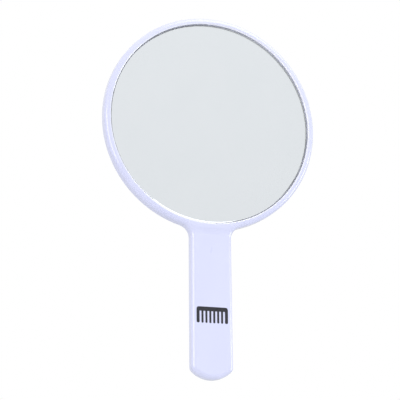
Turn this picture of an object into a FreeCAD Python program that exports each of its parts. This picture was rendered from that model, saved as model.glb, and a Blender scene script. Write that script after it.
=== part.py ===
import FreeCAD, Part
import math
import os
import Sketcher

# Hand mirror for a hair salon. One moulded frame makes the round rim, the tray behind the glass and the
# front of the flat handle. The mirror is stuck into the tray with foam tape, and a thin back cover presses
# in from behind on round pins.
#
# Frame: +Z runs from the handle to the head, the glass faces -Y, and +X is the right of someone who looks
# into it. The origin is the middle of the grip: halfway along the handle, across it and through the head.
# Sketches lie on the XZ plane, so their own height runs towards the glass side.

DIMENSIONS = (
    ("head_diameter", 150.0, "outside of the round head"),
    ("handle_length", 102.2, "from the head's circle to the tip of the handle"),
    ("neck_width", 28.6, "handle where the neck curves end"),
    ("end_width", 29.2, "handle above its lower corners"),
    ("end_radius", 19.0, "arch of the handle's end"),
    ("corner_radius", 4.6, "corners between the sides and the arch"),
    ("neck_radius", 8.5, "curves from the head into the handle"),
    ("thickness", 10.4, "from the rim's crest to the back"),
    ("crest_drop", 1.0, "how far the handle's face lies below the crest"),
    ("crest_radius", 72.4, "where the rim starts to fall towards the handle"),
    ("crest_fall", 6.4, "length of that fall"),
    ("front_edge_radius", 3.0, "rounding of the outer front edge"),
    ("back_edge_radius", 3.0, "rounding of the outer back edge"),
    ("rim_width", 4.4, "from the outside to the wall around the glass"),
    ("rim_inner_radius", 1.0, "rounding of the rim's inner edge"),
    ("glass_recess", 1.5, "glass below the crest"),
    ("glass_diameter", 140.2, "mirror disc"),
    ("glass_thickness", 2.0, "float glass"),
    ("glass_seam", 0.2, "ground bevel on both edges of the glass"),
    ("coat_margin", 0.15, "bare glass outside the coats"),
    ("silver_thickness", 0.1, "reflecting coat"),
    ("paint_thickness", 0.15, "protecting paint"),
    ("tape_length", 70.0, "foam tape strip"),
    ("tape_width", 12.0, "foam tape strip"),
    ("tape_thickness", 0.8, "foam tape strip"),
    ("tape_distance", 45.0, "from the head's centre to the middle of a strip"),
    ("tray_thickness", 1.6, "floor behind the tape"),
    ("cover_thickness", 1.8, "back cover plate"),
    ("cover_inset", 3.8, "from the outside to the edge of the cover's seat"),
    ("cover_gap", 0.15, "play around the cover"),
    ("cover_corner_radius", 1.6, "corners of the cover's seat"),
    ("seam_chamfer", 0.35, "bevel on both sides of the back seam"),
    ("hollow_inset", 5.0, "from the outside to the hollow's wall"),
    ("hollow_corner_radius", 1.2, "corners of the hollow"),
    ("handle_wall", 2.2, "front wall of the handle"),
    ("trough_width", 17.4, "deep hollow of the handle"),
    ("trough_start", 1.6, "from the head's circle down to that hollow"),
    ("trough_end", 12.0, "from the handle's tip up to that hollow"),
    ("rib_thickness", 1.2, "all ribs"),
    ("rib_ring_radius", 34.0, "middle of the round rib"),
    ("rib_count", 6, "straight ribs and head pins"),
    ("cross_rib_count", 5, "ribs across the handle"),
    ("cross_rib_span", 64.0, "from the first to the last of them"),
    ("socket_circle_radius", 58.0, "from the head's centre to the head sockets"),
    ("socket_spacing", 48.0, "between the two handle sockets"),
    ("boss_diameter", 6.0, "round post of each socket"),
    ("socket_diameter", 2.7, "hole in the post"),
    ("socket_depth", 2.0, "hole in the post"),
    ("pin_diameter", 2.5, "pins of the back cover"),
    ("pin_length", 1.6, "pins of the back cover"),
)
SIZE = {alias: value for alias, value, meaning in DIMENSIONS}

# How near an edge must be to a plane to count as lying on it.
TOUCH = 0.01

TAPE_ANGLES = {"upper": 0, "right": 90, "lower": 180, "left": 270}

# Distances from the middle plane towards the glass side, worked out from the sheet.
FRONT = "Sheet.thickness / 2"
BACK = "-Sheet.thickness / 2"
GLASS_FACE = f"{FRONT} - Sheet.glass_recess"
GLASS_BACK = f"{GLASS_FACE} - Sheet.glass_thickness"
SILVER_BACK = f"{GLASS_BACK} - Sheet.silver_thickness"
PAINT_BACK = f"{SILVER_BACK} - Sheet.paint_thickness"
TRAY_FACE = f"{PAINT_BACK} - Sheet.tape_thickness"
TRAY_BACK = f"{TRAY_FACE} - Sheet.tray_thickness"
COVER_FACE = f"{BACK} + Sheet.cover_thickness"
TROUGH_FLOOR = f"{FRONT} - Sheet.crest_drop - Sheet.handle_wall"
HEAD_CENTRE = "(Sheet.handle_length + Sheet.head_diameter) / 2"
RIM_INSIDE = "Sheet.head_diameter / 2 - Sheet.rim_width"


def make_sheet(document):
    """Writes the driving dimensions into a spreadsheet, one row each."""
    sheet = document.addObject("Spreadsheet::Sheet", "Sheet")
    for row, (alias, value, meaning) in enumerate(DIMENSIONS, 1):
        sheet.set(f"A{row}", alias)
        sheet.set(f"B{row}", str(value))
        sheet.set(f"C{row}", meaning)
        sheet.setAlias(f"B{row}", alias)
    return sheet


def make_body(document, label, centre="0"):
    """Starts one sub-part, whose own origin sits on the Z axis at the given height."""
    body = document.addObject("PartDesign::Body", label)
    body.Label = label
    body.Placement = FreeCAD.Placement()
    body.setExpression(".Placement.Base.z", centre)
    return body


def add_sketch(body, name, height, upward="0", plane="XZ_Plane"):
    """Adds a sketch on one of the body's own planes, raised towards the glass side."""
    sketch = body.newObject("Sketcher::SketchObject", name)
    support = next(feature for feature in body.Origin.OriginFeatures if feature.Role == plane)
    sketch.AttachmentSupport = (support, [""])
    sketch.MapMode = "FlatFace"
    sketch.setExpression(".AttachmentOffset.Base.z", height)
    sketch.setExpression(".AttachmentOffset.Base.y", upward)
    return sketch


def bind(sketch, name, constraint, expression):
    """Adds a dimension to a sketch, names it and ties it to the sheet."""
    index = sketch.addConstraint(constraint)
    sketch.renameConstraint(index, name)
    sketch.setExpression(f"Constraints.{name}", expression)


def add_circle(sketch, name, radius, start_radius, above=None, start_above=0.0):
    """Draws a circle about the sketch's origin, or about a point straight above it."""
    centre = FreeCAD.Vector(0, start_above, 0)
    index = sketch.addGeometry(Part.Circle(centre, FreeCAD.Vector(0, 0, 1), start_radius), False)
    bind(sketch, f"{name}_radius", Sketcher.Constraint("Radius", index, start_radius), radius)
    if above is None:
        sketch.addConstraint(Sketcher.Constraint("Coincident", index, 3, -1, 1))
        return
    sketch.addConstraint(Sketcher.Constraint("PointOnObject", index, 3, -2))
    bind(sketch, f"{name}_above", Sketcher.Constraint("DistanceY", -1, 1, index, 3, start_above), above)


def add_rectangle(sketch, half_width, low, high, start):
    """Draws a rectangle that is symmetric about the sketch's vertical axis."""
    start_width, start_low, start_high = start
    corners = [
        FreeCAD.Vector(-start_width, start_low, 0),
        FreeCAD.Vector(start_width, start_low, 0),
        FreeCAD.Vector(start_width, start_high, 0),
        FreeCAD.Vector(-start_width, start_high, 0),
    ]
    for corner, following in zip(corners, corners[1:] + corners[:1]):
        sketch.addGeometry(Part.LineSegment(corner, following), False)
    for side in range(4):
        sketch.addConstraint(Sketcher.Constraint("Coincident", side, 2, (side + 1) % 4, 1))
        sketch.addConstraint(Sketcher.Constraint("Vertical" if side % 2 else "Horizontal", side))
    bind(sketch, "right", Sketcher.Constraint("DistanceX", -1, 1, 0, 2, start_width), half_width)
    bind(sketch, "left", Sketcher.Constraint("DistanceX", 0, 1, -1, 1, start_width), half_width)
    bind(sketch, "low", Sketcher.Constraint("DistanceY", -1, 1, 0, 1, start_low), low)
    bind(sketch, "high", Sketcher.Constraint("DistanceY", -1, 1, 2, 1, start_high), high)


def add_outline(sketch, insets=(), corner="corner_radius"):
    """Draws the mirror's outline, moved inwards by the sum of the named insets."""
    inset = sum(SIZE[alias] for alias in insets)
    inset_text = "".join(f" - Sheet.{alias}" for alias in insets)
    outset_text = "".join(f" + Sheet.{alias}" for alias in insets)
    head = SIZE["head_diameter"] / 2 - inset
    neck = SIZE["neck_radius"] + inset
    neck_half = SIZE["neck_width"] / 2 - inset
    end_half = SIZE["end_width"] / 2 - inset
    end = SIZE["end_radius"] - inset
    bend = SIZE[corner]
    head_z = (SIZE["handle_length"] + SIZE["head_diameter"]) / 2
    end_z = SIZE["end_radius"] - SIZE["handle_length"] / 2
    neck_angle = math.acos((neck_half + neck) / (head + neck))
    neck_z = head_z - (head + neck) * math.sin(neck_angle)
    end_angle = math.acos((end_half - bend) / (end - bend))
    bend_z = end_z - (end - bend) * math.sin(end_angle)

    def arc(x, z, radius, start, stop):
        circle = Part.Circle(FreeCAD.Vector(x, z, 0), FreeCAD.Vector(0, 0, 1), radius)
        return sketch.addGeometry(Part.ArcOfCircle(circle, start, stop), False)

    def side(x_start, z_start, x_stop, z_stop):
        start = FreeCAD.Vector(x_start, z_start, 0)
        return sketch.addGeometry(Part.LineSegment(start, FreeCAD.Vector(x_stop, z_stop, 0)), False)

    head_arc = arc(0, head_z, head, -neck_angle, math.pi + neck_angle)
    left_neck = arc(-neck_half - neck, neck_z, neck, 0, neck_angle)
    left_side = side(-neck_half, neck_z, -end_half, bend_z)
    left_bend = arc(bend - end_half, bend_z, bend, math.pi, math.pi + end_angle)
    end_arc = arc(0, end_z, end, math.pi + end_angle, 2 * math.pi - end_angle)
    right_bend = arc(end_half - bend, bend_z, bend, -end_angle, 0)
    right_side = side(end_half, bend_z, neck_half, neck_z)
    right_neck = arc(neck_half + neck, neck_z, neck, math.pi - neck_angle, math.pi)

    joints = (
        (head_arc, 2, left_neck, 2),
        (left_neck, 1, left_side, 1),
        (left_side, 2, left_bend, 1),
        (left_bend, 2, end_arc, 1),
        (end_arc, 2, right_bend, 1),
        (right_bend, 2, right_side, 1),
        (right_side, 2, right_neck, 2),
        (right_neck, 1, head_arc, 1),
    )
    for joint in joints:
        sketch.addConstraint(Sketcher.Constraint("Tangent", *joint))
    for centred in (head_arc, end_arc):
        sketch.addConstraint(Sketcher.Constraint("PointOnObject", centred, 3, -2))

    radii = (
        ("head", head_arc, head, f"Sheet.head_diameter / 2{inset_text}"),
        ("end", end_arc, end, f"Sheet.end_radius{inset_text}"),
        ("left_neck", left_neck, neck, f"Sheet.neck_radius{outset_text}"),
        ("right_neck", right_neck, neck, f"Sheet.neck_radius{outset_text}"),
        ("left_bend", left_bend, bend, f"Sheet.{corner}"),
        ("right_bend", right_bend, bend, f"Sheet.{corner}"),
    )
    for name, curve, radius, expression in radii:
        bind(sketch, f"{name}_radius", Sketcher.Constraint("Radius", curve, radius), expression)
    head_place = Sketcher.Constraint("DistanceY", -1, 1, head_arc, 3, head_z)
    bind(sketch, "head_place", head_place, HEAD_CENTRE)
    end_place = Sketcher.Constraint("DistanceY", end_arc, 3, -1, 1, -end_z)
    bind(sketch, "end_place", end_place, "Sheet.handle_length / 2 - Sheet.end_radius")

    half_neck = f"Sheet.neck_width / 2{inset_text}"
    half_end = f"Sheet.end_width / 2{inset_text}"
    widths = (
        ("left_top", (left_side, 1, -1, 1), neck_half, half_neck),
        ("left_low", (left_side, 2, -1, 1), end_half, half_end),
        ("right_top", (-1, 1, right_side, 2), neck_half, half_neck),
        ("right_low", (-1, 1, right_side, 1), end_half, half_end),
    )
    for name, points, width, expression in widths:
        bind(sketch, name, Sketcher.Constraint("DistanceX", *points, width), expression)


def add_pad(body, name, sketch, length):
    """Raises a sketch towards the glass side."""
    pad = body.newObject("PartDesign::Pad", name)
    pad.Profile = sketch
    pad.setExpression("Length", length)
    return pad


def add_pocket(body, name, sketch, depth, from_back=False):
    """Sinks a sketch into the body, from the glass side or from behind."""
    pocket = body.newObject("PartDesign::Pocket", name)
    pocket.Profile = sketch
    pocket.Reversed = from_back
    pocket.setExpression("Length", depth)
    return pocket


def add_ring_of(body, name, features, sketch):
    """Repeats features about the head's own axis, once for each straight rib."""
    pattern = body.newObject("PartDesign::PolarPattern", name)
    pattern.Originals = features
    pattern.Axis = (sketch, ["N_Axis"])
    pattern.Angle = 360
    pattern.setExpression("Occurrences", "Sheet.rib_count")
    body.Tip = pattern
    return pattern


def add_row_of(body, name, features, sketch, span, count):
    """Repeats features up the handle, from where they lie."""
    pattern = body.newObject("PartDesign::LinearPattern", name)
    pattern.Originals = features
    pattern.Direction = (sketch, ["V_Axis"])
    pattern.setExpression("Length", span)
    pattern.setExpression("Occurrences", count)
    body.Tip = pattern
    return pattern


def wall_edges(shape, chosen):
    """Names the edges of the walls parallel to Y that the test chooses."""
    edges = []
    for face in shape.Faces:
        low_u, high_u, low_v, high_v = face.ParameterRange
        normal = face.normalAt((low_u + high_u) / 2, (low_v + high_v) / 2)
        if abs(normal.y) < TOUCH:
            edges += [edge for edge in face.Edges if chosen(edge.BoundBox)]
    names = enumerate(shape.Edges, 1)
    return [f"Edge{index}" for index, edge in names if any(edge.isSame(other) for other in edges)]


def add_rounding(body, name, base, edges, radius):
    """Rounds the named edges of the last feature."""
    fillet = body.newObject("PartDesign::Fillet", name)
    fillet.Base = (base, edges)
    fillet.setExpression("Radius", radius)
    return fillet


def add_bevel(body, name, base, edges, size):
    """Bevels the named edges of the last feature."""
    chamfer = body.newObject("PartDesign::Chamfer", name)
    chamfer.Base = (base, edges)
    chamfer.setExpression("Size", size)
    return chamfer


def add_crest_fall(body):
    """Lowers the handle's face below the rim's crest with two arcs, turned about the head's axis."""
    sketch = add_sketch(body, "crest_profile", "0", plane="YZ_Plane")
    front = -SIZE["thickness"] / 2
    head_z = (SIZE["handle_length"] + SIZE["head_diameter"]) / 2
    drop = SIZE["crest_drop"]
    fall = SIZE["crest_fall"]
    bend = (fall * fall + drop * drop) / (4 * drop)
    sweep = 2 * math.atan(drop / fall)
    top_z = head_z - SIZE["crest_radius"]
    low_z = top_z - fall
    end_z = -SIZE["handle_length"]
    clear = front - drop
    flat = FreeCAD.Vector(0, 0, 1)

    def line(y_start, z_start, y_stop, z_stop, construction=False):
        start = FreeCAD.Vector(y_start, z_start, 0)
        stop = FreeCAD.Vector(y_stop, z_stop, 0)
        return sketch.addGeometry(Part.LineSegment(start, stop), construction)

    top_circle = Part.Circle(FreeCAD.Vector(front + bend, top_z, 0), flat, bend)
    low_circle = Part.Circle(FreeCAD.Vector(front + drop - bend, low_z, 0), flat, bend)
    top_arc = sketch.addGeometry(Part.ArcOfCircle(top_circle, math.pi, math.pi + sweep), False)
    low_arc = sketch.addGeometry(Part.ArcOfCircle(low_circle, 0, sweep), False)
    floor = line(front + drop, low_z, front + drop, end_z)
    end = line(front + drop, end_z, clear, end_z)
    outside = line(clear, end_z, clear, top_z)
    top = line(clear, top_z, front, top_z)
    axis = line(clear, head_z, -clear, head_z, construction=True)

    sketch.addConstraint(Sketcher.Constraint("Tangent", top_arc, 2, low_arc, 2))
    sketch.addConstraint(Sketcher.Constraint("Tangent", low_arc, 1, floor, 1))
    sketch.addConstraint(Sketcher.Constraint("Coincident", floor, 2, end, 1))
    sketch.addConstraint(Sketcher.Constraint("Coincident", end, 2, outside, 1))
    sketch.addConstraint(Sketcher.Constraint("Coincident", outside, 2, top, 1))
    sketch.addConstraint(Sketcher.Constraint("Perpendicular", top_arc, 1, top, 2))
    sketch.addConstraint(Sketcher.Constraint("Equal", top_arc, low_arc))
    for upright in (floor, outside):
        sketch.addConstraint(Sketcher.Constraint("Vertical", upright))
    for level in (end, top, axis):
        sketch.addConstraint(Sketcher.Constraint("Horizontal", level))
    distances = (
        ("axis_height", "DistanceY", (-1, 1, axis, 1), head_z, HEAD_CENTRE),
        ("axis_start", "DistanceX", (axis, 1, -1, 1), -clear, FRONT),
        ("axis_end", "DistanceX", (-1, 1, axis, 2), -clear, FRONT),
        ("crest_place", "DistanceX", (top_arc, 1, -1, 1), -front, FRONT),
        ("fall_start", "DistanceY", (top_arc, 1, axis, 1), SIZE["crest_radius"], "Sheet.crest_radius"),
        ("fall_length", "DistanceY", (low_arc, 1, top_arc, 1), fall, "Sheet.crest_fall"),
        ("drop", "DistanceX", (top_arc, 1, low_arc, 1), drop, "Sheet.crest_drop"),
        ("clearance", "DistanceX", (outside, 2, top, 2), drop, "Sheet.crest_drop"),
        ("reach", "DistanceY", (end, 1, -1, 1), -end_z, "Sheet.handle_length"),
    )
    for name, direction, points, distance, expression in distances:
        bind(sketch, name, Sketcher.Constraint(direction, *points, distance), expression)

    groove = body.newObject("PartDesign::Groove", "crest_fall")
    groove.Profile = sketch
    groove.ReferenceAxis = (sketch, ["Axis0"])
    groove.Angle = 360
    return groove


def make_front_frame(document):
    """Moulded frame: rim, tray, handle front, and ribs and sockets inside."""
    body = make_body(document, "front_frame")
    outline = add_sketch(body, "outline", BACK)
    add_outline(outline)
    add_pad(body, "blank", outline, "Sheet.thickness")
    document.recompute()

    fall = add_crest_fall(body)
    document.recompute()
    half = SIZE["thickness"] / 2
    front_edges = wall_edges(fall.Shape, lambda box: box.YMax < SIZE["crest_drop"] - half + TOUCH)
    front = add_rounding(body, "front_rounding", fall, front_edges, "Sheet.front_edge_radius")
    document.recompute()
    back_edges = wall_edges(front.Shape, lambda box: box.YMin > half - TOUCH)
    add_rounding(body, "back_rounding", front, back_edges, "Sheet.back_edge_radius")

    mirror_seat = add_sketch(body, "mirror_seat", FRONT, HEAD_CENTRE)
    rim_inside = SIZE["head_diameter"] / 2 - SIZE["rim_width"]
    add_circle(mirror_seat, "seat", RIM_INSIDE, rim_inside)
    seat = add_pocket(body, "mirror_pocket", mirror_seat, f"{FRONT} - ({TRAY_FACE})")
    document.recompute()
    rim_edges = wall_edges(seat.Shape, lambda box: box.YMax < TOUCH - half)
    add_rounding(body, "rim_rounding", seat, rim_edges, "Sheet.rim_inner_radius")

    cover_seat = add_sketch(body, "cover_seat", BACK)
    add_outline(cover_seat, ("cover_inset",), "cover_corner_radius")
    seat = add_pocket(body, "cover_pocket", cover_seat, "Sheet.cover_thickness", from_back=True)
    document.recompute()
    seam_edges = wall_edges(seat.Shape, lambda box: box.YMin > half - TOUCH)
    add_bevel(body, "seam_bevel", seat, seam_edges, "Sheet.seam_chamfer")

    hollow = add_sketch(body, "hollow_outline", COVER_FACE)
    add_outline(hollow, ("hollow_inset",), "hollow_corner_radius")
    add_pocket(body, "hollow", hollow, f"{TRAY_BACK} - ({COVER_FACE})", from_back=True)

    trough = add_sketch(body, "trough_outline", TRAY_BACK)
    trough_half = SIZE["trough_width"] / 2
    trough_low = SIZE["trough_end"] - SIZE["handle_length"] / 2
    trough_high = SIZE["handle_length"] / 2 - SIZE["trough_start"]
    add_rectangle(
        trough,
        "Sheet.trough_width / 2",
        "Sheet.trough_end - Sheet.handle_length / 2",
        "Sheet.handle_length / 2 - Sheet.trough_start",
        (trough_half, trough_low, trough_high),
    )
    add_pocket(body, "trough", trough, f"{TROUGH_FLOOR} - ({TRAY_BACK})", from_back=True)
    add_head_ribs(body)
    add_handle_ribs(body)
    return body


def add_head_ribs(body):
    """Round rib, straight ribs and pin sockets between the tray and the back cover."""
    rib_height = f"{TRAY_BACK} - ({COVER_FACE})"
    ring = add_sketch(body, "ring_rib_profile", COVER_FACE, HEAD_CENTRE)
    half_rib = SIZE["rib_thickness"] / 2
    ring_radius = SIZE["rib_ring_radius"]
    add_circle(ring, "outer", "Sheet.rib_ring_radius + Sheet.rib_thickness / 2", ring_radius + half_rib)
    add_circle(ring, "inner", "Sheet.rib_ring_radius - Sheet.rib_thickness / 2", ring_radius - half_rib)
    add_pad(body, "ring_rib", ring, rib_height)

    straight = add_sketch(body, "straight_rib_profile", COVER_FACE, HEAD_CENTRE)
    rib_end = SIZE["head_diameter"] / 2 - SIZE["rim_width"] + half_rib
    add_rectangle(
        straight,
        "Sheet.rib_thickness / 2",
        "Sheet.rib_ring_radius",
        f"{RIM_INSIDE} + Sheet.rib_thickness / 2",
        (half_rib, ring_radius, rib_end),
    )
    rib = add_pad(body, "straight_rib", straight, rib_height)

    post = add_sketch(body, "head_post_profile", COVER_FACE, HEAD_CENTRE)
    above = ("Sheet.socket_circle_radius", SIZE["socket_circle_radius"])
    add_circle(post, "post", "Sheet.boss_diameter / 2", SIZE["boss_diameter"] / 2, *above)
    boss = add_pad(body, "head_post", post, rib_height)
    add_ring_of(body, "head_ribs", [rib, boss], straight)

    hole = add_sketch(body, "head_socket_profile", COVER_FACE, HEAD_CENTRE)
    add_circle(hole, "hole", "Sheet.socket_diameter / 2", SIZE["socket_diameter"] / 2, *above)
    socket = add_pocket(body, "head_socket", hole, "Sheet.socket_depth", from_back=True)
    add_ring_of(body, "head_sockets", [socket], hole)


def add_handle_ribs(body):
    """Cross ribs and two pin sockets inside the handle."""
    rib_height = f"{TROUGH_FLOOR} - ({COVER_FACE})"
    cross = add_sketch(body, "cross_rib_profile", COVER_FACE)
    half_rib = SIZE["rib_thickness"] / 2
    first = -SIZE["cross_rib_span"] / 2
    add_rectangle(
        cross,
        "(Sheet.trough_width + Sheet.rib_thickness) / 2",
        "(-Sheet.cross_rib_span - Sheet.rib_thickness) / 2",
        "(Sheet.rib_thickness - Sheet.cross_rib_span) / 2",
        (SIZE["trough_width"] / 2 + half_rib, first - half_rib, first + half_rib),
    )
    rib = add_pad(body, "cross_rib", cross, rib_height)
    add_row_of(body, "cross_ribs", [rib], cross, "Sheet.cross_rib_span", "Sheet.cross_rib_count")

    above = ("-Sheet.socket_spacing / 2", -SIZE["socket_spacing"] / 2)
    post = add_sketch(body, "handle_post_profile", COVER_FACE)
    add_circle(post, "post", "Sheet.boss_diameter / 2", SIZE["boss_diameter"] / 2, *above)
    boss = add_pad(body, "handle_post", post, rib_height)
    add_row_of(body, "handle_posts", [boss], post, "Sheet.socket_spacing", "2")
    hole = add_sketch(body, "handle_socket_profile", COVER_FACE)
    add_circle(hole, "hole", "Sheet.socket_diameter / 2", SIZE["socket_diameter"] / 2, *above)
    socket = add_pocket(body, "handle_socket", hole, "Sheet.socket_depth", from_back=True)
    add_row_of(body, "handle_sockets", [socket], hole, "Sheet.socket_spacing", "2")


def make_back_cover(document):
    """Thin flush plate that closes the back, with a round pin for every socket."""
    body = make_body(document, "back_cover")
    outline = add_sketch(body, "outline", BACK)
    add_outline(outline, ("cover_inset", "cover_gap"), "cover_corner_radius")
    plate = add_pad(body, "plate", outline, "Sheet.cover_thickness")
    document.recompute()
    half = SIZE["thickness"] / 2
    seam_edges = wall_edges(plate.Shape, lambda box: box.YMin > half - TOUCH)
    add_bevel(body, "seam_bevel", plate, seam_edges, "Sheet.seam_chamfer")

    pin_radius = SIZE["pin_diameter"] / 2
    above = ("Sheet.socket_circle_radius", SIZE["socket_circle_radius"])
    head = add_sketch(body, "head_pin_profile", COVER_FACE, HEAD_CENTRE)
    add_circle(head, "pin", "Sheet.pin_diameter / 2", pin_radius, *above)
    pin = add_pad(body, "head_pin", head, "Sheet.pin_length")
    add_ring_of(body, "head_pins", [pin], head)

    above = ("-Sheet.socket_spacing / 2", -SIZE["socket_spacing"] / 2)
    handle = add_sketch(body, "handle_pin_profile", COVER_FACE)
    add_circle(handle, "pin", "Sheet.pin_diameter / 2", pin_radius, *above)
    pin = add_pad(body, "handle_pin", handle, "Sheet.pin_length")
    add_row_of(body, "handle_pins", [pin], handle, "Sheet.socket_spacing", "2")
    return body


def make_mirror_glass(document):
    """Float glass disc with both edges ground."""
    body = make_body(document, "mirror_glass", HEAD_CENTRE)
    outline = add_sketch(body, "outline", GLASS_BACK)
    add_circle(outline, "disc", "Sheet.glass_diameter / 2", SIZE["glass_diameter"] / 2)
    disc = add_pad(body, "disc", outline, "Sheet.glass_thickness")
    document.recompute()
    edges = wall_edges(disc.Shape, lambda box: box.YLength < TOUCH)
    add_bevel(body, "ground_edge", disc, edges, "Sheet.glass_seam")
    return body


def make_coat(document, label, thickness, back):
    """Thin round coat on the back of the glass."""
    coat = document.addObject("Part::Cylinder", label)
    coat.Label = label
    coat.Placement = FreeCAD.Placement(FreeCAD.Vector(), FreeCAD.Rotation(FreeCAD.Vector(1, 0, 0), 90))
    coat.setExpression("Radius", "Sheet.glass_diameter / 2 - Sheet.coat_margin")
    coat.setExpression("Height", thickness)
    coat.setExpression(".Placement.Base.y", f"-({back})")
    coat.setExpression(".Placement.Base.z", HEAD_CENTRE)
    return coat


def make_tape(document, place, angle):
    """One foam tape strip between the painted glass and the tray, turned about the head's axis."""
    label = f"{place}_mounting_tape"
    tape = document.addObject("Part::Box", label)
    tape.Label = label
    turn = FreeCAD.Rotation(FreeCAD.Vector(0, 1, 0), angle)
    tape.Placement = FreeCAD.Placement(FreeCAD.Vector(), turn)
    tape.setExpression("Length", "Sheet.tape_length")
    tape.setExpression("Width", "Sheet.tape_thickness")
    tape.setExpression("Height", "Sheet.tape_width")
    across = "(-Sheet.tape_length / 2)"
    outward = "(Sheet.tape_distance - Sheet.tape_width / 2)"
    cosine = round(math.cos(math.radians(angle)))
    sine = round(math.sin(math.radians(angle)))
    tape.setExpression(".Placement.Base.x", f"{across} * {cosine} + {outward} * {sine}")
    tape.setExpression(".Placement.Base.y", f"-({PAINT_BACK})")
    tape.setExpression(".Placement.Base.z", f"{HEAD_CENTRE} - {across} * {sine} + {outward} * {cosine}")
    return tape


def check(document, parts):
    """Stops before anything is written if a feature failed or a sub-part isn't one valid solid."""
    for item in document.Objects:
        if "Invalid" in item.State or "Error" in item.State:
            raise RuntimeError(f"{item.Name} failed: {item.State}")
    for part in parts:
        shape = part.Shape
        if shape.isNull() or not shape.isValid() or len(shape.Solids) != 1:
            raise RuntimeError(f"{part.Label} isn't one valid solid")
        print(f"{part.Label}: {shape.Volume:.0f} mm3")


document = FreeCAD.newDocument("HandMirror")
make_sheet(document)
document.recompute()
parts = [
    make_front_frame(document),
    make_back_cover(document),
    make_mirror_glass(document),
    make_coat(document, "mirror_silvering", "Sheet.silver_thickness", SILVER_BACK),
    make_coat(document, "mirror_back_paint", "Sheet.paint_thickness", PAINT_BACK),
]
for place, angle in TAPE_ANGLES.items():
    parts.append(make_tape(document, place, angle))
document.recompute()
check(document, parts)
os.makedirs("parts", exist_ok=True)
for part in parts:
    part.Shape.exportStep(f"parts/{part.Label}.step")
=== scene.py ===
import math

import bmesh
import bpy
from mathutils import Matrix, Vector


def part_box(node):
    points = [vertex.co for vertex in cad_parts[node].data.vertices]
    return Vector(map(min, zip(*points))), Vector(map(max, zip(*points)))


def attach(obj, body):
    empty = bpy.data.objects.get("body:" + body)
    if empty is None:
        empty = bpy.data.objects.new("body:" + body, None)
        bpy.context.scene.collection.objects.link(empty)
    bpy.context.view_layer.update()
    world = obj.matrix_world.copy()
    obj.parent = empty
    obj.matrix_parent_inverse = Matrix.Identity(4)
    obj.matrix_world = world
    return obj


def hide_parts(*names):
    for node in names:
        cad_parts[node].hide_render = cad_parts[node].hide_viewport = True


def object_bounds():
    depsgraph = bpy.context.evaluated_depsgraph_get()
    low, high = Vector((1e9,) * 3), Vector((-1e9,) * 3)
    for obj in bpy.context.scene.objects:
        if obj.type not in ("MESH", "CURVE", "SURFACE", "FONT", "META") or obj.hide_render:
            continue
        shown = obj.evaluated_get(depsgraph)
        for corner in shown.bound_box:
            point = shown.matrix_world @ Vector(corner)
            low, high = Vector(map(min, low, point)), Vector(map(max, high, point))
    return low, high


# Salon hand mirror: the CAD nodes keep their shapes and get procedural materials, and a small generic comb
# is printed on the handle. Everything is in metres in the CAD frame: +Z up the mirror, the glass faces -Y.

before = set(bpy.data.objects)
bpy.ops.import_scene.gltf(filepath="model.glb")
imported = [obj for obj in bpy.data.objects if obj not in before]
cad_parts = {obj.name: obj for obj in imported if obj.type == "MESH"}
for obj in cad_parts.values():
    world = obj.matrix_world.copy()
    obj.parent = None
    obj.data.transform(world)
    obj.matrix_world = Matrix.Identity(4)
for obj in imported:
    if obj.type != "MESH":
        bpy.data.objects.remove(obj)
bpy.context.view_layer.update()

MM = 0.001

# Camera, as a product photographer would place it: slightly left of the mirror, a little below, far away.
CAMERA_DISTANCE = 1.5
CAMERA_AZIMUTH = math.radians(-18.2)
CAMERA_ELEVATION = math.radians(-15.1)
CAMERA_ROLL = math.radians(-0.55)
CAMERA_LENS = 199.6
CAMERA_SENSOR = 36.0
CAMERA_FAR = 100.0
AIM_FROM_HEAD = Vector((-6.6, 0.8, -53.9)) * MM

# How far the handle's flat face lies below the crest of the rim.
CREST_DROP = 1.0 * MM

FLOOR_DROP = 0.75
FLOOR_SIZE = 24.0
FLOOR_SEGMENTS = 8

SURROUND_BELOW = 0.38
SURROUND_ABOVE = 1.10
SURROUND_COLOUR = (0.985, 0.99, 1.0, 1.0)


def head_centre():
    """Middle of the mirror disc, on the plane halfway through the moulding."""
    low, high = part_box("mirror_glass")
    return Vector(((low.x + high.x) / 2, 0.0, (low.z + high.z) / 2))


def handle_face():
    """Where the handle's flat face lies along Y: the crest of the rim less the fall to the handle."""
    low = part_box("front_frame")[0]
    return low.y + CREST_DROP


# ---------------------------------------------------------------- node helpers

def new_material(name):
    """Empty node material with a Principled shader on its output."""
    material = bpy.data.materials.new(name)
    material.use_nodes = True
    nodes = material.node_tree.nodes
    nodes.clear()
    shader = nodes.new("ShaderNodeBsdfPrincipled")
    output = nodes.new("ShaderNodeOutputMaterial")
    material.node_tree.links.new(shader.outputs["BSDF"], output.inputs["Surface"])
    return material, shader


def connect(material, source, target):
    """Joins two sockets."""
    material.node_tree.links.new(source, target)


def surface_point(material, stretch=(1.0, 1.0, 1.0)):
    """Position on the object in metres, stretched along each axis."""
    nodes = material.node_tree.nodes
    coordinates = nodes.new("ShaderNodeTexCoord")
    mapping = nodes.new("ShaderNodeMapping")
    mapping.inputs["Scale"].default_value = stretch
    connect(material, coordinates.outputs["Object"], mapping.inputs["Vector"])
    return mapping.outputs["Vector"]


def noise(material, grain, detail=3.0, stretch=(1.0, 1.0, 1.0), roughness=0.5):
    """Noise whose features are about grain metres across."""
    texture = material.node_tree.nodes.new("ShaderNodeTexNoise")
    texture.inputs["Scale"].default_value = 1.0 / grain
    texture.inputs["Detail"].default_value = detail
    texture.inputs["Roughness"].default_value = roughness
    connect(material, surface_point(material, stretch), texture.inputs["Vector"])
    return texture.outputs["Fac"]


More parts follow.
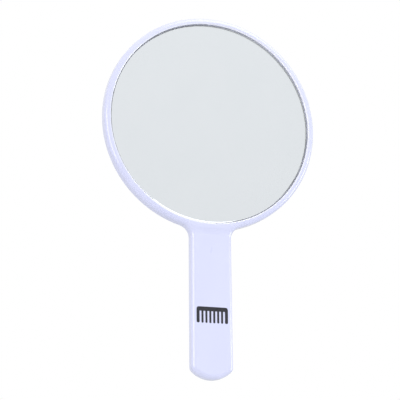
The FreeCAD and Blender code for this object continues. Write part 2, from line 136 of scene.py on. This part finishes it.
def remap(material, value, low, high, start=0.3, stop=0.7):
    """Spreads a value from start..stop over low..high."""
    node = material.node_tree.nodes.new("ShaderNodeMapRange")
    node.inputs["From Min"].default_value = start
    node.inputs["From Max"].default_value = stop
    node.inputs["To Min"].default_value = low
    node.inputs["To Max"].default_value = high
    connect(material, value, node.inputs["Value"])
    return node.outputs["Result"]


def arithmetic(material, operation, first, second):
    """Two values or numbers joined by one operation."""
    node = material.node_tree.nodes.new("ShaderNodeMath")
    node.operation = operation
    for socket, value in zip(node.inputs, (first, second)):
        if isinstance(value, (int, float)):
            socket.default_value = value
        else:
            connect(material, value, socket)
    return node.outputs["Value"]


def blend_colours(material, factor, first, second):
    """Colour between two tones, each a tuple or a socket."""
    node = material.node_tree.nodes.new("ShaderNodeMix")
    node.data_type = "RGBA"
    colours = [socket for socket in node.inputs if socket.type == "RGBA"]
    for socket, colour in zip(colours, (first, second)):
        if isinstance(colour, tuple):
            socket.default_value = (*colour, 1.0)
        else:
            connect(material, colour, socket)
    connect(material, factor, node.inputs["Factor"])
    return next(socket for socket in node.outputs if socket.type == "RGBA")


def add_bump(material, shader, height, distance, strength=1.0):
    """Raises the surface by height times distance metres."""
    bump = material.node_tree.nodes.new("ShaderNodeBump")
    bump.inputs["Distance"].default_value = distance
    bump.inputs["Strength"].default_value = strength
    connect(material, height, bump.inputs["Height"])
    connect(material, bump.outputs["Normal"], shader.inputs["Normal"])


# ---------------------------------------------------------------- materials

# The painted light on the wall around the glass, a lighter colour standing in for light the wall doesn't
# catch: where it starts to fade and ends, outwards from the edge of the glass, and how soon it fades below
# the glass's face.
WALL_START = 0.6 * MM
WALL_END = 1.6 * MM
WALL_FADE = 0.3 * MM
WALL_PAINTED_LIGHT_COLOUR = (0.80, 0.82, 0.91)


def painted_light_beside_mirror(material):
    """Mask of the painted light: one on the wall that rises around the glass, and nothing further out or
    down in the gap.
    """
    low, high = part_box("mirror_glass")
    glass_radius = (high.x - low.x) / 2
    split = material.node_tree.nodes.new("ShaderNodeSeparateXYZ")
    connect(material, surface_point(material), split.inputs["Vector"])
    upward = arithmetic(material, "SUBTRACT", split.outputs["Z"], head_centre().z)
    across_squared = arithmetic(material, "MULTIPLY", split.outputs["X"], split.outputs["X"])
    upward_squared = arithmetic(material, "MULTIPLY", upward, upward)
    squared = arithmetic(material, "ADD", across_squared, upward_squared)
    distance = arithmetic(material, "POWER", squared, 0.5)
    near = remap(material, distance, 1.0, 0.0, glass_radius + WALL_START, glass_radius + WALL_END)
    risen = remap(material, split.outputs["Y"], 1.0, 0.0, low.y, low.y + WALL_FADE)
    return arithmetic(material, "MULTIPLY", near, risen)


def frame_plastic():
    """Pale lavender-white moulded plastic, satin gloss with a faint orange peel and flow marks, and painted
    light on the wall around the glass.
    """
    material, shader = new_material("frame_plastic")
    cloud = noise(material, 28 * MM, detail=4.0)
    flow = noise(material, 9 * MM, detail=2.0, stretch=(1.0, 1.0, 0.15))
    cloud_part = arithmetic(material, "MULTIPLY", cloud, 0.6)
    flow_part = arithmetic(material, "MULTIPLY", flow, 0.4)
    mixed = arithmetic(material, "ADD", cloud_part, flow_part)
    share = remap(material, mixed, 0.0, 1.0)
    colour = blend_colours(material, share, (0.575, 0.60, 0.80), (0.595, 0.62, 0.815))
    # Painted light: the wall around the glass gets a lighter colour, standing in for light it doesn't catch
    # in the gap.
    # The wall around the glass is drawn lighter, to come near the photo's brightness there.
    colour = blend_colours(material, painted_light_beside_mirror(material), colour, WALL_PAINTED_LIGHT_COLOUR)
    connect(material, colour, shader.inputs["Base Color"])
    wipe = noise(material, 14 * MM, detail=5.0, stretch=(1.0, 1.0, 0.5), roughness=0.6)
    connect(material, remap(material, wipe, 0.27, 0.36), shader.inputs["Roughness"])
    peel = noise(material, 1.6 * MM, detail=2.0)
    add_bump(material, shader, peel, 0.012 * MM, 0.6)
    shader.inputs["IOR"].default_value = 1.5
    shader.inputs["Coat Weight"].default_value = 1.0
    shader.inputs["Coat Roughness"].default_value = 0.16
    return material


def cover_plastic():
    """Moulded plastic of the back, a little lighter than the frame's, with a spark-eroded mould's grain."""
    material, shader = new_material("cover_plastic")
    cloud = noise(material, 30 * MM, detail=4.0)
    share = remap(material, cloud, 0.0, 1.0)
    colour = blend_colours(material, share, (0.63, 0.65, 0.835), (0.655, 0.675, 0.86))
    connect(material, colour, shader.inputs["Base Color"])
    wipe = noise(material, 16 * MM, detail=5.0, roughness=0.6)
    connect(material, remap(material, wipe, 0.42, 0.52), shader.inputs["Roughness"])
    grain = noise(material, 0.55 * MM, detail=3.0, roughness=0.6)
    add_bump(material, shader, grain, 0.03 * MM, 0.7)
    shader.inputs["IOR"].default_value = 1.5
    return material


def mirror_glass():
    """Clear float glass, nearly free of colour, with the faintest haze from wiping."""
    material, shader = new_material("mirror_glass")
    haze = noise(material, 22 * MM, detail=5.0, stretch=(1.0, 1.0, 0.6), roughness=0.65)
    share = remap(material, haze, 0.0, 1.0)
    colour = blend_colours(material, share, (0.982, 0.986, 0.985), (0.99, 0.993, 0.992))
    connect(material, colour, shader.inputs["Base Color"])
    connect(material, remap(material, haze, 0.0, 0.012), shader.inputs["Roughness"])
    shader.inputs["Transmission Weight"].default_value = 1.0
    shader.inputs["IOR"].default_value = 1.52
    return material


def silver_coat():
    """Reflecting coat behind the glass, very slightly uneven."""
    material, shader = new_material("silver_coat")
    cloud = noise(material, 35 * MM, detail=4.0)
    share = remap(material, cloud, 0.0, 1.0)
    colour = blend_colours(material, share, (0.91, 0.945, 0.97), (0.925, 0.955, 0.98))
    connect(material, colour, shader.inputs["Base Color"])
    connect(material, remap(material, cloud, 0.005, 0.02), shader.inputs["Roughness"])
    shader.inputs["Metallic"].default_value = 1.0
    return material


def back_paint():
    """Grey protecting paint, sprayed and slightly rough."""
    material, shader = new_material("back_paint")
    speckle = noise(material, 1.2 * MM, detail=3.0)
    share = remap(material, speckle, 0.0, 1.0)
    colour = blend_colours(material, share, (0.10, 0.105, 0.11), (0.15, 0.155, 0.16))
    connect(material, colour, shader.inputs["Base Color"])
    connect(material, remap(material, speckle, 0.5, 0.65), shader.inputs["Roughness"])
    add_bump(material, shader, speckle, 0.02 * MM, 0.6)
    return material


def foam_tape():
    """White foam mounting tape with open cells."""
    material, shader = new_material("foam_tape")
    cells = material.node_tree.nodes.new("ShaderNodeTexVoronoi")
    cells.inputs["Scale"].default_value = 1.0 / (0.5 * MM)
    connect(material, surface_point(material), cells.inputs["Vector"])
    # Painted shade: the colour is darker towards the middle of each pore, where the bump dips lowest; the
    # same value gives the pores' depth.
    pore_depth_and_shade = remap(material, cells.outputs["Distance"], 0.0, 1.0, 0.0, 0.6)
    colour = blend_colours(material, pore_depth_and_shade, (0.62, 0.62, 0.58), (0.82, 0.82, 0.79))
    connect(material, colour, shader.inputs["Base Color"])
    connect(material, remap(material, pore_depth_and_shade, 0.95, 0.8, 0.0, 1.0), shader.inputs["Roughness"])
    add_bump(material, shader, pore_depth_and_shade, 0.08 * MM, 0.8)
    return material


def print_ink():
    """Dark pad-printed ink, a little uneven."""
    material, shader = new_material("print_ink")
    coverage = noise(material, 0.9 * MM, detail=4.0, roughness=0.6)
    share = remap(material, coverage, 0.0, 1.0)
    colour = blend_colours(material, share, (0.008, 0.008, 0.012), (0.02, 0.02, 0.028))
    connect(material, colour, shader.inputs["Base Color"])
    connect(material, remap(material, coverage, 0.4, 0.55), shader.inputs["Roughness"])
    add_bump(material, shader, coverage, 0.01 * MM, 0.5)
    return material


def floor_paint():
    """Pale studio floor with a faint mottle."""
    material, shader = new_material("floor_paint")
    mottle = noise(material, 0.35, detail=5.0)
    share = remap(material, mottle, 0.0, 1.0)
    colour = blend_colours(material, share, (0.70, 0.705, 0.715), (0.73, 0.735, 0.745))
    connect(material, colour, shader.inputs["Base Color"])
    shader.inputs["Roughness"].default_value = 0.85
    return material


NODE_MATERIALS = {
    "front_frame": frame_plastic,
    "back_cover": cover_plastic,
    "mirror_glass": mirror_glass,
    "mirror_silvering": silver_coat,
    "mirror_back_paint": back_paint,
    "upper_mounting_tape": foam_tape,
    "right_mounting_tape": foam_tape,
    "lower_mounting_tape": foam_tape,
    "left_mounting_tape": foam_tape,
}


def dress_nodes():
    """Gives every CAD node its material; nodes of the same stuff share one."""
    made = {}
    for name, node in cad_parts.items():
        maker = NODE_MATERIALS[name]
        if maker not in made:
            made[maker] = maker()
        node.data.materials.clear()
        node.data.materials.append(made[maker])
    return made


# ---------------------------------------------------------------- reflecting layer

SILVER_BITE = 0.03 * MM
SILVER_SEGMENTS = 256
SILVER_RINGS = 12


def silver_layer(coat):
    """Reflecting layer that starts just inside the back of the glass, as silvering has no air under it."""
    low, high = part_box("mirror_silvering")
    centre = head_centre()
    radius = (high.x - low.x) / 2
    front = low.y - SILVER_BITE
    mesh = bmesh.new()
    rings = []
    for ring in range(1, SILVER_RINGS + 1):
        reach = radius * ring / SILVER_RINGS
        rings.append([
            mesh.verts.new((
                centre.x + reach * math.cos(2 * math.pi * step / SILVER_SEGMENTS),
                front,
                centre.z + reach * math.sin(2 * math.pi * step / SILVER_SEGMENTS),
            ))
            for step in range(SILVER_SEGMENTS)
        ])
    back = [mesh.verts.new((vert.co.x, high.y, vert.co.z)) for vert in rings[-1]]
    middle = mesh.verts.new((centre.x, front, centre.z))
    for step in range(SILVER_SEGMENTS):
        following = (step + 1) % SILVER_SEGMENTS
        mesh.faces.new((middle, rings[0][step], rings[0][following]))
        for inner, outer in zip(rings, rings[1:] + [back]):
            mesh.faces.new((inner[step], outer[step], outer[following], inner[following]))
    mesh.faces.new(back)
    bmesh.ops.recalc_face_normals(mesh, faces=mesh.faces[:])
    data = bpy.data.meshes.new("silver_layer")
    mesh.to_mesh(data)
    mesh.free()
    layer = bpy.data.objects.new("silver_layer", data)
    bpy.context.scene.collection.objects.link(layer)
    data.materials.append(coat)
    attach(layer, "root")
    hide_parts("mirror_silvering")


# ---------------------------------------------------------------- printed comb

COMB_CENTRE_X = -0.4 * MM
COMB_CENTRE_Z = -8.0 * MM
COMB_WIDTH = 22.0 * MM
COMB_HEIGHT = 11.0 * MM
SPINE_HEIGHT = 2.9 * MM
GUARD_WIDTH = 2.1 * MM
TOOTH_WIDTH = 1.45 * MM
TOOTH_COUNT = 6
INK_THICKNESS = 0.05 * MM
CORNER_STEPS = 6

# Corner radii, as a share of the bar's width and of the spine's height.
BAR_ROUNDING = 0.45
SPINE_ROUNDING = 0.6


def quarter_arc(centre_x, centre_z, radius, start):
    """Points of a quarter circle, counter-clockwise from the start angle."""
    angles = [start + step * math.pi / 2 / CORNER_STEPS for step in range(CORNER_STEPS + 1)]
    return [(centre_x + radius * math.cos(angle), centre_z + radius * math.sin(angle)) for angle in angles]


def rounded_bar(x, low_z, high_z, width):
    """Corner points of an upright bar with rounded lower corners, counter-clockwise."""
    radius = width * BAR_ROUNDING
    points = []
    for side, start in ((-1, math.pi), (1, 1.5 * math.pi)):
        centre_x = x + side * (width / 2 - radius)
        points += quarter_arc(centre_x, low_z + radius, radius, start)
    points.append((x + width / 2, high_z))
    points.append((x - width / 2, high_z))
    return points


def comb_outline():
    """One closed outline: rounded spine on top, then guards and teeth hanging from it."""
    top = COMB_CENTRE_Z + COMB_HEIGHT / 2
    root = top - SPINE_HEIGHT
    low = COMB_CENTRE_Z - COMB_HEIGHT / 2
    left = COMB_CENTRE_X - COMB_WIDTH / 2
    right = COMB_CENTRE_X + COMB_WIDTH / 2
    pitch = (COMB_WIDTH - 2 * GUARD_WIDTH + TOOTH_WIDTH) / (TOOTH_COUNT + 1)
    first = left + GUARD_WIDTH - TOOTH_WIDTH / 2 + pitch
    prongs = [(left + GUARD_WIDTH / 2, GUARD_WIDTH)]
    prongs += [(first + pitch * tooth, TOOTH_WIDTH) for tooth in range(TOOTH_COUNT)]
    prongs.append((right - GUARD_WIDTH / 2, GUARD_WIDTH))
    outline = []
    for x, width in prongs:
        bar = rounded_bar(x, low, root, width)
        outline += [bar[-1]] + bar[:-1]
    radius = SPINE_HEIGHT * SPINE_ROUNDING
    for side, start in ((1, 0.0), (-1, 0.5 * math.pi)):
        centre_x = COMB_CENTRE_X + side * (COMB_WIDTH / 2 - radius)
        outline += quarter_arc(centre_x, top - radius, radius, start)
    return outline


def printed_comb():
    """Thin closed layer of ink in the shape of a plain comb, on the handle's face."""
    face = handle_face()
    mesh = bmesh.new()
    verts = [mesh.verts.new((x, face, z)) for x, z in comb_outline()]
    sheet = mesh.faces.new(verts)
    raised = bmesh.ops.extrude_face_region(mesh, geom=[sheet])
    moved = [item for item in raised["geom"] if isinstance(item, bmesh.types.BMVert)]
    bmesh.ops.translate(mesh, verts=moved, vec=(0.0, -INK_THICKNESS, 0.0))
    bmesh.ops.triangulate(mesh, faces=mesh.faces[:])
    bmesh.ops.recalc_face_normals(mesh, faces=mesh.faces[:])
    data = bpy.data.meshes.new("printed_comb")
    mesh.to_mesh(data)
    mesh.free()
    comb = bpy.data.objects.new("printed_comb", data)
    bpy.context.scene.collection.objects.link(comb)
    data.materials.append(print_ink())
    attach(comb, "root")


# ---------------------------------------------------------------- studio

def make_floor():
    """Plain pale floor well below the mirror, which a hand would hold."""
    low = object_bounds()[0]
    mesh = bmesh.new()
    bmesh.ops.create_grid(mesh, x_segments=FLOOR_SEGMENTS, y_segments=FLOOR_SEGMENTS, size=FLOOR_SIZE / 2)
    data = bpy.data.meshes.new("floor")
    mesh.to_mesh(data)
    mesh.free()
    floor = bpy.data.objects.new("floor", data)
    floor.location.z = low[2] - FLOOR_DROP
    bpy.context.scene.collection.objects.link(floor)
    data.materials.append(floor_paint())


def make_world():
    """White for the camera; for everything else a soft surround that is darker below than above."""
    world = bpy.data.worlds.new("studio")
    world.use_nodes = True
    tree = world.node_tree
    tree.nodes.clear()
    seen = tree.nodes.new("ShaderNodeBackground")
    seen.inputs["Color"].default_value = (1.0, 1.0, 1.0, 1.0)
    surround = tree.nodes.new("ShaderNodeBackground")
    surround.inputs["Color"].default_value = SURROUND_COLOUR
    direction = tree.nodes.new("ShaderNodeTexCoord")
    split = tree.nodes.new("ShaderNodeSeparateXYZ")
    height = tree.nodes.new("ShaderNodeMapRange")
    height.inputs["From Min"].default_value = -1.0
    height.inputs["To Min"].default_value = SURROUND_BELOW
    height.inputs["To Max"].default_value = SURROUND_ABOVE
    tree.links.new(direction.outputs["Generated"], split.inputs["Vector"])
    tree.links.new(split.outputs["Z"], height.inputs["Value"])
    tree.links.new(height.outputs["Result"], surround.inputs["Strength"])
    path = tree.nodes.new("ShaderNodeLightPath")
    choice = tree.nodes.new("ShaderNodeMixShader")
    output = tree.nodes.new("ShaderNodeOutputWorld")
    tree.links.new(path.outputs["Is Camera Ray"], choice.inputs["Fac"])
    tree.links.new(surround.outputs["Background"], choice.inputs[1])
    tree.links.new(seen.outputs["Background"], choice.inputs[2])
    tree.links.new(choice.outputs["Shader"], output.inputs["Surface"])
    bpy.context.scene.world = world


def add_softbox(name, direction, distance, size, power, colour=(1.0, 1.0, 1.0), in_gloss=True):
    """Square area light that looks at the head from a direction; gloss and glass show it if asked to."""
    light = bpy.data.lights.new(name, "AREA")
    light.shape = "SQUARE"
    light.size = size
    light.energy = power
    light.color = colour
    lamp = bpy.data.objects.new(name, light)
    towards = Vector(direction).normalized()
    lamp.location = head_centre() + towards * distance
    lamp.rotation_euler = towards.to_track_quat("Z", "Y").to_euler()
    lamp.visible_glossy = in_gloss
    lamp.visible_transmission = in_gloss
    bpy.context.scene.collection.objects.link(lamp)


def make_camera():
    """Camera at the photograph's angle, aimed between the head and the handle."""
    back = Vector((
        math.sin(CAMERA_AZIMUTH) * math.cos(CAMERA_ELEVATION),
        -math.cos(CAMERA_AZIMUTH) * math.cos(CAMERA_ELEVATION),
        math.sin(CAMERA_ELEVATION),
    ))
    level = (-back).cross(Vector((0.0, 0.0, 1.0))).normalized()
    upright = level.cross(-back)
    right = level * math.cos(CAMERA_ROLL) + upright * math.sin(CAMERA_ROLL)
    up = upright * math.cos(CAMERA_ROLL) - level * math.sin(CAMERA_ROLL)
    place = head_centre() + AIM_FROM_HEAD + back * CAMERA_DISTANCE
    data = bpy.data.cameras.new("camera")
    data.lens = CAMERA_LENS
    data.sensor_width = CAMERA_SENSOR
    data.clip_end = CAMERA_FAR
    camera = bpy.data.objects.new("camera", data)
    camera.matrix_world = Matrix.Translation(place) @ Matrix((right, up, back)).transposed().to_4x4()
    bpy.context.scene.collection.objects.link(camera)
    bpy.context.scene.camera = camera


bpy.context.scene.view_settings.view_transform = "Standard"
make_camera()
made_materials = dress_nodes()
silver_layer(made_materials[silver_coat])
printed_comb()
make_floor()
make_world()
add_softbox("left_softbox", (-0.80, -0.55, 0.05), 1.6, 1.0, 9.0, (1.0, 0.95, 0.95))
add_softbox("upper_softbox", (0.40, -0.40, 0.82), 1.6, 1.2, 9.0)
add_softbox("right_softbox", (0.90, -0.35, -0.10), 1.6, 0.8, 7.0)
add_softbox("front_softbox", (-0.30, -0.90, -0.30), 2.0, 0.8, 3.0, in_gloss=False)
